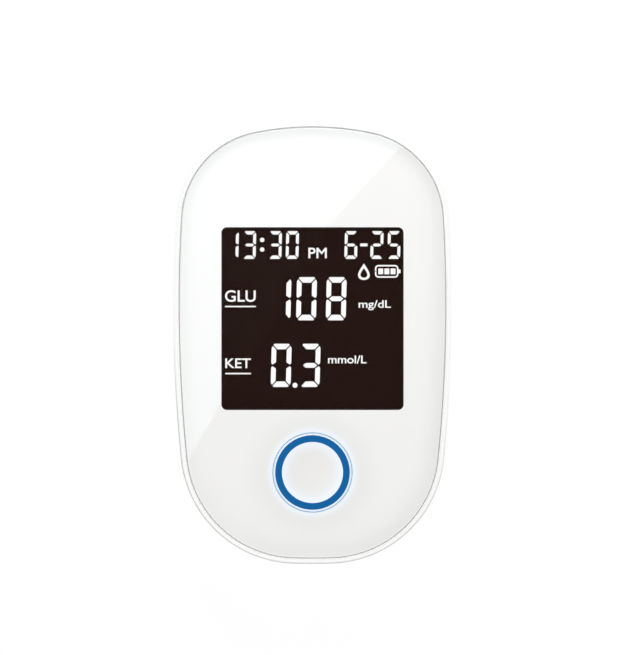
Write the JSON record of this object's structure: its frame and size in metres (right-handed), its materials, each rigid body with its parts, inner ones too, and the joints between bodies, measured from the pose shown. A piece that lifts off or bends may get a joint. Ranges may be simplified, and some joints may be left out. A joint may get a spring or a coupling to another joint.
{
  "type": "blood glucose meter",
  "caption": "Pebble-shaped hand-held test meter with a square smoked display above one large round button, a strip port in the top end and a sliding battery door.",
  "frame": {"origin": "middle of the flat back, on the surface that the meter lies on", "axes": "+Z out of the display, +Y towards the end with the strip port, +X to the right seen from the front"},
  "size_m": [0.0504, 0.08, 0.0161],
  "materials": {
    "case_white": "satin moulded plastic",
    "panel_pearl": "polished moulded plastic",
    "window_smoke": "smoked, polished",
    "adhesive_film": "matt film",
    "foam_black": "fine closed-cell foam",
    "polarizer_dark": "smooth film",
    "display_glass": "polished",
    "guide_acrylic": "polished acrylic",
    "lamp_white": "moulded resin",
    "holder_white": "moulded plastic",
    "elastomer_strip": "silicone rubber",
    "board_green": "solder mask",
    "chip_black": "moulded epoxy",
    "shield_tin": "tinned sheet",
    "button_white": "satin moulded plastic",
    "ring_blue": "smooth moulded plastic",
    "sleeve_blue": "translucent moulded plastic",
    "switch_black": "moulded nylon",
    "plunger_grey": "moulded nylon",
    "cell_steel": "nickel-plated",
    "spring_steel": "plated spring strip",
    "contact_gold": "gold-plated",
    "screw_steel": "zinc-plated",
    "guide_grey": "satin moulded plastic",
    "connector_black": "moulded plastic",
    "slide_grey": "moulded plastic"
  },
  "bodies": {
    "case": {"front_cover": "case_white", "back_cover": "case_white", "face_panel": "panel_pearl", "panel_tape": "adhesive_film", "display_window": "window_smoke", "display_gasket": "foam_black", "display_polarizer": "polarizer_dark", "display_front_glass": "display_glass", "display_rear_glass": "display_glass", "light_guide": "guide_acrylic", "backlight_leds": "lamp_white", "display_holder": "holder_white", "zebra_strip": "elastomer_strip", "main_board": "board_green", "processor": "chip_black", "memory_chip": "chip_black", "radio_module": "shield_tin", "clock_crystal": "shield_tin", "buzzer": "switch_black", "button_sleeve": "sleeve_blue", "button_leds": "lamp_white", "switch_body": "switch_black", "coin_cell_upper": "cell_steel", "coin_cell_lower": "cell_steel", "cell_leaf_springs": "spring_steel", "cell_side_clips": "spring_steel", "case_screws": "screw_steel", "strip_guide": "guide_grey", "strip_connector": "connector_black", "strip_terminals": "contact_gold", "ejector_spring": "spring_steel"},
    "button": {"button_cap": "button_white", "button_ring": "ring_blue"},
    "plunger": {"switch_plunger": "plunger_grey"},
    "door": {"battery_door": "case_white"},
    "ejector": {"ejector_slide": "slide_grey"}
  },
  "joints": [
    {"name": "button_press", "type": "slide", "parent": "case", "child": "button", "axis": [0, 0, -1], "range_m": [0, 0.0005], "stiffness_N_per_m": 1500, "springref_m": -0.0005},
    {"name": "plunger_press", "type": "slide", "parent": "case", "child": "plunger", "axis": [0, 0, -1], "range_m": [0, 0.0005]},
    {"name": "battery_door_slide", "type": "slide", "parent": "case", "child": "door", "axis": [0, -1, 0], "range_m": [0, 0.046]},
    {"name": "strip_ejector_slide", "type": "slide", "parent": "case", "child": "ejector", "axis": [0, 1, 0], "range_m": [0, 0.005], "stiffness_N_per_m": 100, "springref_m": -0.003, "deforming": ["ejector_spring"]}
  ],
  "couplings": [
    {"joint": "plunger_press", "follows": "button_press", "ratio": 1}
  ]
}
